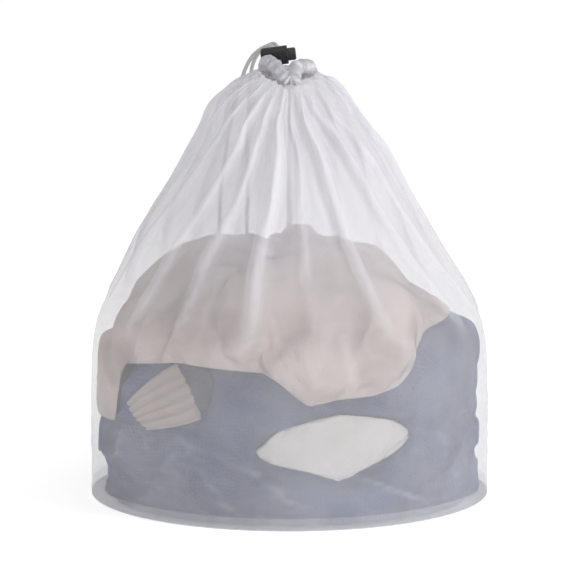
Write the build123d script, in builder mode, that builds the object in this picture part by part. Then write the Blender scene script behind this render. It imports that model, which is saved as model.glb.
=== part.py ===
"""A mesh laundry bag, full and drawn shut: a round bag of fine mesh with its drawcord, its sprung cord lock
and the load of laundry that it holds. Millimetres, +Z up, front towards -Y. The origin is the centre of the
round base, on the surface that the bag stands on."""

import os
from math import cos, pi, radians, sin, tan

from build123d import *

# ---- Bag ----
flat_width = 500.0  # the empty bag laid flat, side to side
bag_radius = flat_width / pi
mesh_thickness = 0.8  # two to three pleats of thin net
straight_height = 105.0  # the wall stands upright to here, held out by the load
shoulder_height = 326.0
shoulder_radius = 48.0
# The shoulder's curve: share of its rise, share of its inward run.
shoulder_shape = ((0, 0), (0.19, 0.06), (0.37, 0.23), (0.59, 0.48), (0.81, 0.75), (1, 1))
binding_height = 9.0
binding_thickness = 1.2
seam_width = 6.0
seam_thickness = 0.8
seam_gap = 0.2

# ---- Drawcord channel: the gathered hem, a ring that is pulled up at its back ----
neck_offset = (-1.0, -6.0)  # the ring stands a little off the bag's axis
neck_rise = 11.8  # from the shoulder's rim to the middle of the ring's top face
neck_tilt = 11.0
channel_radius = 24.0
channel_height = 14.0
mouth_radius = 8.5
channel_edge_radius = 3.5
skirt_drop = 5.0  # the gathered wall meets the ring this far below its top face
lobe_radius_left = 6.0
lobe_radius_right = 5.5
mouth_way_radius = 5.0  # what stays open straight down through the folds

# ---- Drawcord ----
cord_diameter = 3.2
cord_spacing = 0.2  # between the two cords where they run side by side
cord_gap = 0.3
loop_inset = 0.75  # the loop runs this far inside the middle of the ring
loop_depth = 7.0  # below the ring's top face
loop_steps = 11
exit_place = (-8.215, 11.5, 0.8)  # where the cords leave the ring, from the neck's centre
exit_angle = 125.0  # that place's direction, counted from +X
exit_half_turn = 30.0  # the ring's round stretch ends this far either side of the exit
eyelet_thickness = 0.6
eyelet_border = 2.2

# ---- Cord lock ----
lock_place = (-9.05, 23.96)  # middle of the cord slot, in the plane of the ring's top face
lock_seat_gap = 0.58  # between the ring and the barrel
hole_rise = 30.8  # the cord slot climbs towards the back
lock_lean = 7.6  # the barrel climbs towards its button
barrel_diameter = 15.0
barrel_wall = 2.2
bore_end_wall = 1.5
spring_room = 6.3  # between the bore's floor and the button at rest
mouth_land = 0.6  # the button's slot, at rest, ends this far inside the barrel's mouth
button_clearance = 0.2
button_proud = 6.5
button_travel = 4.5
slot_gap = 0.4
button_web = 1.4  # inner end of the button, behind its slot
spring_wire = 0.4
spring_side_gap = 1.5
spring_turns = 3.5
spring_end_gap = 0.1

# ---- Load of laundry ----
load_gap = 3.0  # from the side wall's outer face
load_floor_gap = 0.4
load_corner = 18.0
garment_gap = 0.6
lower_load_top = 100.0
load_top = 218.0
load_crown = (0.62, 0.93)  # shoulder of the upper heap: share of the radius, share of the height
# Folds that show at the front: left and right side in degrees from the front, bottom, top, depth inwards.
sleeve_place = (-9.8, 38.9, 32.0, 92.0, 60.0)
cuff_place = (-59.4, -32.3, 60.0, 122.0, 55.0)
sock_place = (-32.0, -24.5, 72.0, 122.0, 40.0)

# ---- Routes of the two free tails of the drawcord, from the channel through the lock to their knots ----
left_route = [
    (-10.9, 5.5, 338.6),
    (-10.9, 5.5, 343.8),
    (-12.8, 29.5, 358.1),
    (-22.5, 37.5, 353.8),
    (-31.6, 40.5, 345.2),
    (-37.5, 44.5, 331.0),
    (-46.0, 59.5, 301.0),
    (-52.0, 83.0, 262.0),
    (-57.0, 109.0, 222.0),
    (-57.5, 133.5, 180.0),
    (-57.5, 153.5, 134.0),
    (-53.0, 157.5, 86.0),
    (-49.5, 158.5, 42.0),
    (-52.0, 161.5, 14.0),
    (-63.0, 167.5, 2.4),
    (-85.0, 165.5, 1.9),
    (-108.0, 152.0, 1.9),
    (-126.0, 138.0, 4.6),
]
right_route = [
    (-7.53, 5.5, 338.6),
    (-7.53, 5.5, 344.25),
    (-9.54, 30.7, 359.3),
    (-19.0, 43.5, 354.6),
    (-27.5, 48.5, 345.4),
    (-31.5, 53.5, 331.5),
    (-33.0, 68.0, 301.0),
    (-34.5, 92.0, 262.0),
    (-34.0, 118.0, 222.0),
    (-35.5, 141.0, 180.0),
    (-31.5, 161.0, 134.0),
    (-27.0, 163.5, 86.0),
    (-20.0, 165.5, 42.0),
    (-13.0, 169.5, 14.0),
    (0.0, 176.0, 2.4),
    (23.0, 178.0, 1.9),
    (48.0, 173.0, 1.9),
    (71.0, 166.5, 4.6),
]
knot_radius = 4.4
knot_length = 11.0
knot_stub = 10.0

# ---- Worked out from the above ----
neck_centre = Vector(*neck_offset, shoulder_height + neck_rise)
tilt = radians(neck_tilt)
neck_normal = Vector(0, -sin(tilt), cos(tilt))
neck_plane = Plane(origin=neck_centre, x_dir=(1, 0, 0), z_dir=neck_normal)
neck_section = Plane(origin=neck_centre, x_dir=(1, 0, 0), z_dir=(0, -cos(tilt), -sin(tilt)))
neck_axis = Axis(neck_centre, neck_normal)

cord_pitch = cord_diameter + cord_spacing
loop_radius = (mouth_radius + channel_radius) / 2 - loop_inset
lock_centre = neck_plane.from_local_coords((*lock_place, barrel_diameter / 2 + lock_seat_gap))
lean = radians(lock_lean)
barrel_axis = Vector(cos(lean), 0, sin(lean))
level_hole = Vector(0, cos(radians(hole_rise)), sin(radians(hole_rise)))
hole_axis = (level_hole - barrel_axis * level_hole.dot(barrel_axis)).normalized()
slot_length = cord_diameter + cord_pitch + 2 * slot_gap
slot_width = cord_diameter + 2 * slot_gap
# Places along the barrel, counted from the middle of the cord slot towards the button.
button_inner_end = -slot_length / 2 - button_web
bore_floor = button_inner_end - spring_room
barrel_closed_end = bore_floor - bore_end_wall
barrel_mouth = slot_length / 2 + button_travel + mouth_land
barrel_length = barrel_mouth - barrel_closed_end
button_outer_end = barrel_mouth + button_proud
bore_diameter = barrel_diameter - 2 * barrel_wall
button_diameter = bore_diameter - 2 * button_clearance
spring_diameter = bore_diameter - 2 * spring_side_gap
# The lock's own frame: X along the barrel to the button, Z along the cord slot, origin in the slot's middle.
lock_plane = Plane(origin=lock_centre, x_dir=barrel_axis, z_dir=hole_axis)
barrel_plane = Plane(origin=lock_centre, x_dir=hole_axis, z_dir=barrel_axis)


def shoulder_curve(inset):
    """The shoulder's points from the top of the straight wall to its rim, moved inwards by inset."""
    foot = bag_radius - inset
    run = foot - (shoulder_radius - inset)
    rise = shoulder_height - straight_height
    return [(foot - run * inward, straight_height + rise * up) for up, inward in shoulder_shape]


def wall_radius(height, inset):
    """The side wall's radius at a height, on straight lines between the shoulder's points, less inset."""
    points = shoulder_curve(inset)
    for (low_r, low_z), (high_r, high_z) in zip(points, points[1:]):
        if low_z <= height <= high_z:
            return low_r + (high_r - low_r) * (height - low_z) / (high_z - low_z)
    return bag_radius - inset


def arc_radii(points):
    """The radius of each corner of a cord's route: 0.45 of the shorter run over the tangent of half the turn."""
    corners = []
    for before, here, after in zip(points, points[1:], points[2:]):
        run_in = Vector(*here) - Vector(*before)
        run_out = Vector(*after) - Vector(*here)
        half_turn = radians(run_in.get_angle(run_out)) / 2
        corners.append(0.45 * min(run_in.length, run_out.length) / tan(half_turn))
    return corners


def finish(piece, name):
    """Labels a finished piece and writes it under its name."""
    piece.part.label = name
    export_step(piece.part, "parts/" + name + ".step")


os.makedirs("parts", exist_ok=True)

# ======== Side wall: one tube of mesh, closed by its back seam, gathered into the channel ========
wall_outer = shoulder_curve(0)
wall_inner = shoulder_curve(mesh_thickness)
with BuildPart() as side_wall:
    with BuildSketch(Plane.XZ):
        with BuildLine():
            Polyline((bag_radius - mesh_thickness, straight_height),
                     (bag_radius - mesh_thickness, mesh_thickness),
                     (bag_radius, mesh_thickness), (bag_radius, straight_height))
            Spline(*wall_outer, tangents=((0, 1), (-1, 0.95)))
            Line(wall_outer[-1], wall_inner[-1])
            Spline(*wall_inner, tangents=((0, 1), (-1, 0.95)))
        make_face()
    revolve(axis=Axis.Z)
    # The gathered skirt between the shoulder's level rim and the tilted ring.
    with BuildSketch(Plane.XY.offset(shoulder_height)):
        Circle(shoulder_radius)
    with BuildSketch(neck_plane.offset(-skirt_drop)):
        Circle(channel_radius + mesh_thickness)
    loft()
    with BuildSketch(Plane.XY.offset(shoulder_height)):
        Circle(shoulder_radius - mesh_thickness)
    with BuildSketch(neck_plane.offset(-skirt_drop - mesh_thickness)):
        Circle(channel_radius)
    loft(mode=Mode.SUBTRACT)
    with BuildSketch(neck_plane.offset(-2 * channel_height)):
        Circle(channel_radius)
    extrude(amount=4 * channel_height, mode=Mode.SUBTRACT)
finish(side_wall, "side_wall_mesh")

# ======== Round base, and the tape that binds its seam inside the corner ========
with BuildPart() as base_panel:
    with BuildSketch():
        Circle(bag_radius)
    extrude(amount=mesh_thickness)
finish(base_panel, "base_mesh_panel")

binding_radius = bag_radius - mesh_thickness
with BuildPart() as base_binding:
    with BuildSketch(Plane.XY.offset(mesh_thickness)):
        Circle(binding_radius)
        Circle(binding_radius - binding_thickness, mode=Mode.SUBTRACT)
    extrude(amount=binding_height)
finish(base_binding, "base_binding")

# ======== Back seam: the overlocked edge inside the side wall ========
seam_foot = mesh_thickness + binding_height + seam_gap
seam_outer = mesh_thickness + seam_gap
seam_inner = seam_outer + seam_thickness
seam_angle = 360 * seam_width / (2 * pi * bag_radius)
with BuildPart() as side_seam:
    with BuildSketch(Plane.YZ.rotated((0, 0, -seam_angle / 2))):
        with BuildLine():
            Polyline((bag_radius - seam_inner, straight_height), (bag_radius - seam_inner, seam_foot),
                     (bag_radius - seam_outer, seam_foot), (bag_radius - seam_outer, straight_height))
            Spline(*shoulder_curve(seam_outer), tangents=((0, 1), (-1, 0.95)))
            Line(shoulder_curve(seam_outer)[-1], shoulder_curve(seam_inner)[-1])
            Spline(*shoulder_curve(seam_inner), tangents=((0, 1), (-1, 0.95)))
        make_face()
    revolve(axis=Axis.Z, revolution_arc=seam_angle)
finish(side_seam, "side_seam")

# ======== Route of the drawcord's loop inside the channel ========
loop_plane = neck_plane.offset(-loop_depth)
first_angle = exit_angle - exit_half_turn
step = (360 - 2 * exit_half_turn) / (loop_steps - 1)
loop_points = []
for index in range(loop_steps):
    angle = radians(first_angle - step * index)
    loop_points.append(loop_plane.from_local_coords((loop_radius * cos(angle), loop_radius * sin(angle), 0)))
exit_foot_height = loop_points[0].Z
exit_middle = neck_centre + Vector(*exit_place)
half_pitch = Vector(barrel_axis.X, 0, 0) * (cord_pitch / 2)
right_start = exit_middle + half_pitch
left_start = exit_middle - half_pitch
right_turn = Vector(right_start.X, right_start.Y, exit_foot_height)
left_turn = Vector(left_start.X, left_start.Y, exit_foot_height)
loop_route = [right_start, right_turn, *loop_points, left_turn, left_start]

# ======== Drawcord channel: the hem's gathered ring, with two thick folds standing on its front ========
with BuildPart() as drawcord_channel:
    with BuildSketch(neck_section):
        with Locations(((mouth_radius + channel_radius) / 2, -channel_height / 2)):
            RectangleRounded(channel_radius - mouth_radius, channel_height, channel_edge_radius)
    revolve(axis=neck_axis)
    for radius, foot, head in (
        (lobe_radius_left, (-2, -9, -4), (-15, 6, 6.3)),
        (lobe_radius_right, (4, -8, -4), (9, 5.5, 4)),
    ):
        low = neck_plane.from_local_coords(foot)
        high = neck_plane.from_local_coords(head)
        fold_plane = Plane(origin=low, z_dir=high - low)
        with BuildSketch(fold_plane):
            Circle(radius)
        extrude(amount=(high - low).length)
        with Locations(high):
            Sphere(radius)
    # The way down through the folds into the bag.
    with BuildSketch(Plane.XY.offset(neck_centre.Z - 2 * channel_height)):
        with Locations(neck_offset):
            Circle(mouth_way_radius)
    extrude(amount=4 * channel_height, mode=Mode.SUBTRACT)
    # The tunnel for the cord, out to the top face.
    with BuildLine() as tunnel_route:
        FilletPolyline(*loop_route, radius=arc_radii([tuple(point) for point in loop_route]))
    with BuildSketch(Plane(origin=tunnel_route.line @ 0, z_dir=tunnel_route.line % 0)):
        Circle(cord_diameter / 2 + cord_gap)
    sweep(path=tunnel_route.line, mode=Mode.SUBTRACT)
    with BuildSketch(Plane(origin=(exit_middle.X, exit_middle.Y, exit_foot_height))):
        SlotCenterToCenter(cord_pitch, cord_diameter + 2 * cord_gap)
    extrude(amount=3 * channel_height, mode=Mode.SUBTRACT)
    # Room for the stitched eyelet, flush on the top face.
    eyelet_local = neck_plane.to_local_coords(exit_middle)
    with BuildSketch(neck_plane.offset(-eyelet_thickness)):
        with Locations((eyelet_local.X, eyelet_local.Y)):
            SlotCenterToCenter(cord_pitch, cord_diameter + 2 * cord_gap + 2 * eyelet_border)
    extrude(amount=3 * channel_height, mode=Mode.SUBTRACT)
finish(drawcord_channel, "drawcord_channel")

with BuildPart() as buttonhole:
    with BuildSketch(neck_plane.offset(-eyelet_thickness)):
        with Locations((eyelet_local.X, eyelet_local.Y)):
            SlotCenterToCenter(cord_pitch, cord_diameter + 2 * cord_gap + 2 * eyelet_border)
    extrude(amount=eyelet_thickness)
    with BuildSketch(Plane(origin=(exit_middle.X, exit_middle.Y, exit_foot_height))):
        SlotCenterToCenter(cord_pitch, cord_diameter + 2 * cord_gap)
    extrude(amount=3 * channel_height, mode=Mode.SUBTRACT)
finish(buttonhole, "channel_buttonhole")

# ======== Drawcord: the loop in the channel and the two tails ========


def cord_tube(points, name):
    """A round cord along straight runs joined by tangent arcs. Prints its length and radii."""
    radii = arc_radii([tuple(point) for point in points])
    with BuildPart() as tube:
        with BuildLine() as route:
            FilletPolyline(*points, radius=radii)
        with BuildSketch(Plane(origin=route.line @ 0, z_dir=route.line % 0)):
            Circle(cord_diameter / 2)
        sweep(path=route.line)
    length = sum(edge.length for edge in route.edges())
    section = pi * cord_diameter**2 / 4
    print(name, "length", round(length, 1), "volume over section x length",
          round(tube.part.volume / (section * length), 4), "radii", [round(radius, 1) for radius in radii])
    finish(tube, name)


cord_tube(loop_route, "drawcord_neck_loop")
cord_tube(left_route, "drawcord_tail_left")
cord_tube(right_route, "drawcord_tail_right")


def end_knot(points, name):
    """The overhand knot at a tail's end, round the cord's line, with the short stub past it."""
    end = Vector(*points[-1])
    along = end - Vector(*points[-2])
    # The knot lies level, where the tail's last run arrives almost level.
    knot_plane = Plane(origin=end, z_dir=along)
    half_cord = cord_diameter / 2
    with BuildPart() as knot:
        with BuildSketch(Plane(origin=end, x_dir=knot_plane.x_dir, z_dir=-knot_plane.y_dir)):
            with BuildLine():
                Polyline((half_cord, 0), (0, 0), (0, knot_length + knot_stub),
                         (half_cord, knot_length + knot_stub), (half_cord, knot_length))
                ThreePointArc((half_cord, knot_length), (knot_radius, knot_length / 2), (half_cord, 0))
            make_face()
        revolve(axis=Axis(end, knot_plane.z_dir))
    finish(knot, name)


end_knot(left_route, "cord_knot_left")
end_knot(right_route, "cord_knot_right")

# ======== Cord lock: barrel, sprung button, spring ========
with BuildPart() as lock_barrel:
    with BuildSketch(barrel_plane.offset(barrel_closed_end)):
        Circle(barrel_diameter / 2)
    extrude(amount=barrel_length)
    fillet(lock_barrel.faces().sort_by(Axis(lock_centre, barrel_axis))[0].edges(), radius=3)
    fillet(lock_barrel.faces().sort_by(Axis(lock_centre, barrel_axis))[-1].edges(), radius=0.8)
    with BuildSketch(barrel_plane.offset(bore_floor)):
        Circle(bore_diameter / 2)
    extrude(amount=barrel_length, mode=Mode.SUBTRACT)
    with BuildSketch(lock_plane.offset(-barrel_diameter)):
        RectangleRounded(slot_length, slot_width, slot_width / 2 - 0.05)
    extrude(amount=2 * barrel_diameter, mode=Mode.SUBTRACT)
finish(lock_barrel, "lock_barrel")

with BuildPart() as lock_button:
    with BuildSketch(barrel_plane.offset(button_inner_end)):
        Circle(button_diameter / 2)
    extrude(amount=button_outer_end - button_inner_end)
    fillet(lock_button.faces().sort_by(Axis(lock_centre, barrel_axis))[-1].edges(), radius=1.5)
    with BuildSketch(lock_plane.offset(-barrel_diameter)):
        with Locations((button_travel / 2, 0)):
            RectangleRounded(slot_length + button_travel, slot_width, slot_width / 2 - 0.05)
    extrude(amount=2 * barrel_diameter, mode=Mode.SUBTRACT)
finish(lock_button, "lock_button")

spring_start = bore_floor + spring_end_gap + spring_wire / 2
spring_height = button_inner_end - spring_end_gap - spring_wire / 2 - spring_start
with BuildPart() as lock_spring:
    with BuildLine() as coil:
        Helix(pitch=spring_height / spring_turns, height=spring_height,
              radius=(spring_diameter - spring_wire) / 2,
              center=barrel_plane.offset(spring_start).origin, direction=barrel_axis)
    with BuildSketch(Plane(origin=coil.line @ 0, z_dir=coil.line % 0)):
        Circle(spring_wire / 2)
    sweep(path=coil.line, is_frenet=True)
finish(lock_spring, "lock_spring")

# ======== Load: five crumpled garments, as plain solids that fill the bag ========
load_radius = bag_radius - load_gap


def front_fold(place, shrink):
    """The block that a fold takes at the front of the load, inside its edges by shrink."""
    left_angle, right_angle, bottom, top, depth = place
    left = bag_radius * sin(radians(left_angle))
    right = bag_radius * sin(radians(right_angle))
    with BuildPart() as block:
        with BuildSketch(Plane.XY.offset(bottom + shrink)):
            with Locations(((left + right) / 2, -bag_radius + depth / 2)):
                Rectangle(right - left - 2 * shrink, depth - 2 * shrink)
        extrude(amount=top - bottom - 2 * shrink)
    return block.part


with BuildPart() as lower_load:
    with BuildSketch(Plane.XZ):
        with BuildLine():
            foot = mesh_thickness + load_floor_gap
            Polyline((load_radius, foot + load_corner), (load_radius, lower_load_top), (0, lower_load_top),
                     (0, foot), (load_radius - load_corner, foot))
            RadiusArc((load_radius - load_corner, foot), (load_radius, foot + load_corner), -load_corner)
        make_face()
    revolve(axis=Axis.Z)
    for place in (sleeve_place, cuff_place, sock_place):
        add(front_fold(place, 0), mode=Mode.SUBTRACT)
finish(lower_load, "blue_sweater")

crown_radius = load_crown[0] * load_radius
crown_height = lower_load_top + load_crown[1] * (load_top - lower_load_top)
shelf = lower_load_top + garment_gap
side_height = (shelf + load_top) / 2
with BuildPart() as upper_load:
    with BuildSketch(Plane.XZ):
        with BuildLine():
            Polyline((0, shoulder_height), (0, shelf), (load_radius, shelf), (load_radius, straight_height))
            Spline(*shoulder_curve(load_gap), tangents=((0, 1), (-1, 0.95)))
            Line(shoulder_curve(load_gap)[-1], (0, shoulder_height))
        make_face()
        with BuildLine():
            Polyline((0, load_top), (0, shelf), (load_radius, shelf), (load_radius, side_height))
            Spline((load_radius, side_height), (crown_radius, crown_height), (0, load_top),
                   tangents=((0, 1), (-1, 0)))
        make_face(mode=Mode.INTERSECT)
    revolve(axis=Axis.Z)
    for place in (cuff_place, sock_place):
        add(front_fold(place, 0), mode=Mode.SUBTRACT)
finish(upper_load, "cream_shirt")

for place, name in ((sleeve_place, "white_sleeve"), (cuff_place, "ribbed_cuff"), (sock_place, "grey_sock")):
    with BuildPart() as fold:
        with BuildSketch(Plane.XY.offset(place[2])):
            Circle(wall_radius(place[3], load_gap))
        extrude(amount=place[3] - place[2])
        add(front_fold(place, garment_gap), mode=Mode.INTERSECT)
    finish(fold, name)
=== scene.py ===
"""A full mesh laundry bag, drawn shut: net, drawcord, cord lock and load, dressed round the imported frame."""

import math

import bmesh
import bpy
import numpy as np
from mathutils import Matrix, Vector, noise


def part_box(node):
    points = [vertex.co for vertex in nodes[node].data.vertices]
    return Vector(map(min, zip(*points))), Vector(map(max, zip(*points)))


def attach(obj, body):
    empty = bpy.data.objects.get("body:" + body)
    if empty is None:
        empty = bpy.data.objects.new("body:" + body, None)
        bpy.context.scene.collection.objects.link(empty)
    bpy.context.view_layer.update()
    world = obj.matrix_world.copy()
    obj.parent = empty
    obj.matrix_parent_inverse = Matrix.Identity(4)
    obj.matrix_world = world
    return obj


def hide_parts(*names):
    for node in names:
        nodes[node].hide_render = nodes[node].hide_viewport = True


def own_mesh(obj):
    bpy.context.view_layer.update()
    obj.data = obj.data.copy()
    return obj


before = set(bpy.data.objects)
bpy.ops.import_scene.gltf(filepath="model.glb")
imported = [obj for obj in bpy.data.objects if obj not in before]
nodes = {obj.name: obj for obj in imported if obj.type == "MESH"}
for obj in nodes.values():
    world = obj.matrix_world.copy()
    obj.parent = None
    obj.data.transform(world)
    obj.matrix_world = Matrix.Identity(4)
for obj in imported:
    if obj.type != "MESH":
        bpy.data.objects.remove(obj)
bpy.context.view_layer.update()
bpy.ops.object.select_all(action="DESELECT")

# ======== Sizes, in metres ========
wall_low, wall_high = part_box("side_wall_mesh")
neck_low, neck_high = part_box("drawcord_channel")
BAG_RADIUS = wall_high[0]
WALL_FOOT = wall_low[2]
NECK_TILT = math.radians(11)
NECK_X = (neck_low[0] + neck_high[0]) / 2
NECK_Y = -0.006
NECK_HEIGHT = wall_high[2]
HEAP_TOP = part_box("cream_shirt")[1][2]
CORD_DIAMETER = 0.0032
BRAID_LAY = 0.0022
SHOULDER = 0.105
PLEAT_DEPTH = 0.0155
CREASE_DEPTH = 0.0014
CREASE_WIDTH = 0.006

# The full bag's outline, radius and height as shares of the base radius and of the wall's height.
OUTLINE = (
    (1.0, 0.0), (1.0, 0.16), (0.998, 0.315), (0.974, 0.41), (0.925, 0.475), (0.84, 0.555), (0.73, 0.653),
    (0.617, 0.736), (0.51, 0.822), (0.421, 0.893), (0.352, 0.944), (0.276, 0.98), (0.207, 0.996),
    (0.151, 1.0),
)
# The big pleats: degrees from the front where each leaves the neck and where it fades out, and its strength.
PLEATS = (
    (-4, -13, 1.0), (16, 33, 0.8), (28, 66, 0.9), (-27, -58, 0.8), (-15, -38, 0.6), (5, 10, 0.35),
    (44, 84, 0.7), (-44, -84, 0.7), (72, 100, 0.9), (-66, -102, 0.6), (90, 117, 0.5), (-88, -120, 0.9),
    (112, 134, 0.8), (-108, -135, 0.5), (130, 148, 0.6), (-130, -150, 0.8), (150, 163, 0.9),
    (-150, -166, 0.6), (172, 179, 0.5),
)
# Light creases low on the net: degrees and height at both ends.
CREASES = (
    (-56, 0.069, -60, 0.043), (-46, 0.07, -42, 0.047), (-42, 0.047, -44, 0.015), (-33, 0.072, -27, 0.049),
    (-27, 0.049, -16, 0.013), (-33, 0.063, -40, 0.04), (-70, 0.08, -75, 0.03), (-12, 0.05, 2, 0.02),
    (22, 0.04, 40, 0.018), (48, 0.07, 55, 0.03), (64, 0.09, 60, 0.05), (92, 0.08, 84, 0.03),
    (-96, 0.09, -90, 0.04), (118, 0.07, 126, 0.02), (-125, 0.08, -118, 0.03), (150, 0.09, 143, 0.04),
    (-150, 0.06, -158, 0.02),
)
WALL_CUT_WIDTH = 1.0
WALL_CUT_HEIGHT = 0.378
WALL_COLUMNS, WALL_ROWS = 240, 100

# Where each garment's edge lies: degrees from the front, height in metres.
CREAM_HEM = (
    (-180, 0.135), (-130, 0.13), (-100, 0.085), (-88, 0.066), (-64, 0.07), (-60, 0.118), (-37, 0.126),
    (-19, 0.1245), (-8, 0.1235), (-3, 0.116), (2, 0.105), (5.5, 0.098), (14, 0.1025), (26, 0.104),
    (34, 0.1095), (39, 0.118), (43, 0.131), (51, 0.143), (58, 0.146), (90, 0.148), (130, 0.14), (180, 0.135),
)
SLEEVE_OUTLINE = ((-9.6, 0.052, 0.069), (-3, 0.048, 0.081), (6, 0.044, 0.086), (15, 0.037, 0.0905),
                  (24, 0.045, 0.088), (32, 0.051, 0.085), (38.5, 0.06, 0.081))
# Corners of the small garments, anticlockwise from the lower left: degrees from the front, height.
CUFF_CORNERS = ((-49.5, 0.067), (-26, 0.083), (-36.5, 0.13), (-61, 0.086))
SOCK_CORNERS = ((-31, 0.087), (-25, 0.094), (-23.5, 0.12), (-37, 0.129))
SLEEVE_CORNERS = ((-9.6, 0.05), (16.6, 0.0355), (38.5, 0.06), (38, 0.082), (15, 0.0905), (-9.6, 0.07))

LEFT_ROUTE = (
    (-0.0109, 0.0055, 0.3386), (-0.0109, 0.0055, 0.3438), (-0.0128, 0.0295, 0.3581),
    (-0.0225, 0.0375, 0.3538), (-0.0316, 0.0405, 0.3452), (-0.0375, 0.0445, 0.331),
    (-0.046, 0.0595, 0.301), (-0.052, 0.083, 0.262), (-0.057, 0.109, 0.222), (-0.0575, 0.1335, 0.18),
    (-0.0575, 0.1535, 0.134), (-0.053, 0.1575, 0.086), (-0.0495, 0.1585, 0.042), (-0.052, 0.1615, 0.014),
    (-0.063, 0.1675, 0.0024), (-0.085, 0.1655, 0.0019), (-0.108, 0.152, 0.0019), (-0.126, 0.138, 0.0046),
)
RIGHT_ROUTE = (
    (-0.00753, 0.0055, 0.3386), (-0.00753, 0.0055, 0.34425), (-0.00954, 0.0307, 0.3593),
    (-0.019, 0.0435, 0.3546), (-0.0275, 0.0485, 0.3454), (-0.0315, 0.0535, 0.3315),
    (-0.033, 0.068, 0.301), (-0.0345, 0.092, 0.262), (-0.034, 0.118, 0.222), (-0.0355, 0.141, 0.18),
    (-0.0315, 0.161, 0.134), (-0.027, 0.1635, 0.086), (-0.02, 0.1655, 0.042), (-0.013, 0.1695, 0.014),
    (0.0, 0.176, 0.0024), (0.023, 0.178, 0.0019), (0.048, 0.173, 0.0019), (0.071, 0.1665, 0.0046),
)
LEFT_LENGTH, RIGHT_LENGTH = 0.507, 0.515
# The gathered hem's rolled ring: low at the front, two arms that rise round the lock, closed behind it.
CHANNEL_LINE = (
    (0.0, -0.0205, 0.3345), (-0.0065, -0.017, 0.3405), (-0.0125, -0.0105, 0.3465), (-0.0175, -0.001, 0.3475),
    (-0.0195, 0.0075, 0.3425), (-0.0135, 0.0135, 0.336), (-0.002, 0.0155, 0.3345), (0.0095, 0.0125, 0.3365),
    (0.0165, 0.006, 0.341), (0.0135, -0.003, 0.3445), (0.0065, -0.0095, 0.3445), (0.0025, -0.0155, 0.339),
)


# ======== Small helpers ========
def smooth_step(low, high, value):
    share = min(max((value - low) / (high - low), 0.0), 1.0)
    return share * share * (3 - 2 * share)


def signed(angle):
    """An angle between minus and plus half a turn."""
    return (angle + math.pi) % (2 * math.pi) - math.pi


def blend_table(table, value):
    """Straight-line reading of a table of (place, value) rows."""
    for (a, low), (b, high) in zip(table, table[1:]):
        if a <= value <= b:
            return low + (high - low) * (value - a) / (b - a)
    return table[-1][1] if value > table[-1][0] else table[0][1]


def smooth_line(points, spacing, closed=False):
    """Points evenly spaced along a Catmull-Rom curve through the given ones."""
    count = len(points)
    spans = count if closed else count - 1
    dense = []
    for i in range(spans):
        near = [(i + k) % count if closed else min(max(i + k, 0), count - 1) for k in (-1, 0, 1, 2)]
        p0, p1, p2, p3 = (np.array(points[k], float) for k in near)
        for k in range(24):
            t = k / 24
            dense.append(0.5 * (2 * p1 + (p2 - p0) * t + (2 * p0 - 5 * p1 + 4 * p2 - p3) * t * t
                                + (3 * p1 - p0 - 3 * p2 + p3) * t**3))
    dense.append(np.array(points[0 if closed else -1], float))
    return even_points(np.array(dense), spacing)


def distances(line):
    """How far along a line each of its points is."""
    return np.concatenate([[0.0], np.cumsum(np.linalg.norm(np.diff(line, axis=0), axis=1))])


def even_points(dense, spacing):
    """The same line with points at even steps of about the given spacing."""
    travelled = distances(dense)
    wanted = np.linspace(0, travelled[-1], max(int(round(travelled[-1] / spacing)), 4) + 1)
    return np.stack([np.interp(wanted, travelled, dense[:, k]) for k in range(dense.shape[1])], axis=1)


outline = smooth_line(
    [(across * BAG_RADIUS, WALL_FOOT + up * (NECK_HEIGHT - WALL_FOOT)) for across, up in OUTLINE], 0.001)


def outline_radius(height):
    """The bag's radius at a height."""
    return float(np.interp(height, outline[:, 1], outline[:, 0]))


def net_inside(height):
    """The radius that the net's pleats never pass inwards at a height."""
    radius = outline_radius(height)
    return max(radius - 0.0026 - 0.0085 * smooth_step(0.12, 0.2, height), 0.55 * radius)


def sway(height):
    """How far the bag leans to its left at a height."""
    return -0.0045 * math.exp(-(((height - 0.215) / 0.045) ** 2)) - 0.004 * math.exp(
        -(((height - 0.318) / 0.02) ** 2))


def place(radius, angle, height):
    """A point of the bag from its radius, angle from the front and height: the neck leans and tilts."""
    lift = smooth_step(0.24, NECK_HEIGHT, height)
    x = radius * math.sin(angle) + NECK_X * lift + sway(height)
    y = -radius * math.cos(angle)
    return (x, y + NECK_Y * lift, height + lift**3 * math.tan(NECK_TILT) * y)


def build_mesh(name, points, faces, uv=None):
    """A new object from points and faces, with a UV map given point by point."""
    mesh = bpy.data.meshes.new(name)
    mesh.from_pydata([tuple(point) for point in points], [], faces)
    if uv is not None:
        layer = mesh.uv_layers.new(name="cloth")
        for loop in mesh.loops:
            layer.data[loop.index].uv = uv[loop.vertex_index]
    mesh.polygons.foreach_set("use_smooth", [True] * len(mesh.polygons))
    piece = bpy.data.objects.new(name, mesh)
    bpy.context.scene.collection.objects.link(piece)
    return piece


def grid_faces(columns, rows, wrap):
    """Quads of a grid of rows + 1 lines of columns points, joined round if wrap."""
    spans = columns if wrap else columns - 1
    return [(row + k, row + (k + 1) % columns, row + columns + (k + 1) % columns, row + columns + k)
            for row in range(0, rows * columns, columns) for k in range(spans)]


def wrap_uv(piece, columns, rows, width, height):
    """The UV map of a grid that is joined round, in metres of flat cloth, cut at its first column."""
    layer = piece.data.uv_layers.new(name="cloth")
    for face in piece.data.polygons:
        for corner, loop_index in enumerate(face.loop_indices):
            row, column = divmod(piece.data.loops[loop_index].vertex_index, columns)
            if column == 0 and corner in (1, 2):
                column = columns
            layer.data[loop_index].uv = (column / columns * width, row / rows * height)


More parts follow.
